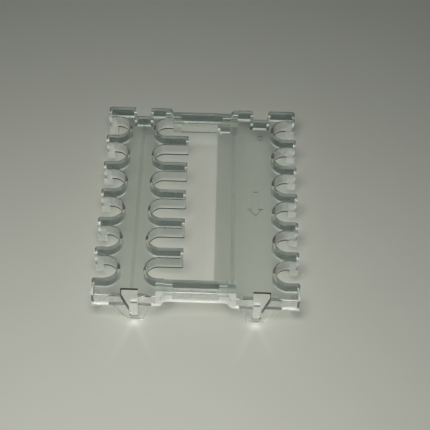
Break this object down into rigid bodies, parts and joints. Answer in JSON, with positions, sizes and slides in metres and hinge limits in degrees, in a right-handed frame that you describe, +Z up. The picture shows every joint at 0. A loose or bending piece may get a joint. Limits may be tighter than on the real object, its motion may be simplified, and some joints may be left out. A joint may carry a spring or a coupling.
{
  "type": "comb frame",
  "caption": "Clear plastic frame with open slots along both sides and a middle comb, standing on feet, with snap-latch windows at the front, for holding strips or plates in lab ware.",
  "frame": {"origin": "on the table, under the middle of the frame's outline", "axes": "+Z up; +Y to the back, away from the front legs; +X to the right, so the middle comb is on the left"},
  "size_m": [0.098, 0.12, 0.0197],
  "materials": {
    "clear_panel": "clear, polished",
    "clear_bar": "clear, polished",
    "clear_rib": "clear, polished",
    "clear_leg": "clear, polished",
    "clear_tongue": "clear, polished",
    "clear_tab": "clear, polished",
    "clear_dowel": "clear, polished"
  },
  "bodies": {
    "frame": {"front_crossbar": "clear_bar", "joint_dowels": "clear_dowel", "left_comb_panel": "clear_panel", "left_corner_post": "clear_tab", "left_finger_tab_1": "clear_tab", "left_finger_tab_2": "clear_tab", "left_finger_tab_3": "clear_tab", "left_finger_tab_4": "clear_tab", "left_finger_tab_5": "clear_tab", "left_front_leg": "clear_leg", "left_rear_foot": "clear_tab", "left_web_rib": "clear_rib", "rear_crossbar": "clear_bar", "right_corner_post": "clear_tab", "right_edge_panel": "clear_panel", "right_finger_tab_1": "clear_tab", "right_finger_tab_2": "clear_tab", "right_finger_tab_3": "clear_tab", "right_finger_tab_4": "clear_tab", "right_finger_tab_5": "clear_tab", "right_front_leg": "clear_leg", "right_rear_foot": "clear_tab", "right_web_rib": "clear_rib"},
    "left_latch": {"left_latch_tongue": "clear_tongue"},
    "right_latch": {"right_latch_tongue": "clear_tongue"}
  },
  "joints": [
    {"name": "left_latch_flex", "type": "hinge", "parent": "frame", "child": "left_latch", "pos_m": [-0.0289, -0.0588, 0.0032], "axis": [1, 0, 0], "range_deg": [0, 6], "stiffness_Nm_per_rad": 0.2},
    {"name": "right_latch_flex", "type": "hinge", "parent": "frame", "child": "right_latch", "pos_m": [0.0289, -0.0588, 0.0032], "axis": [1, 0, 0], "range_deg": [0, 6], "stiffness_Nm_per_rad": 0.2}
  ]
}
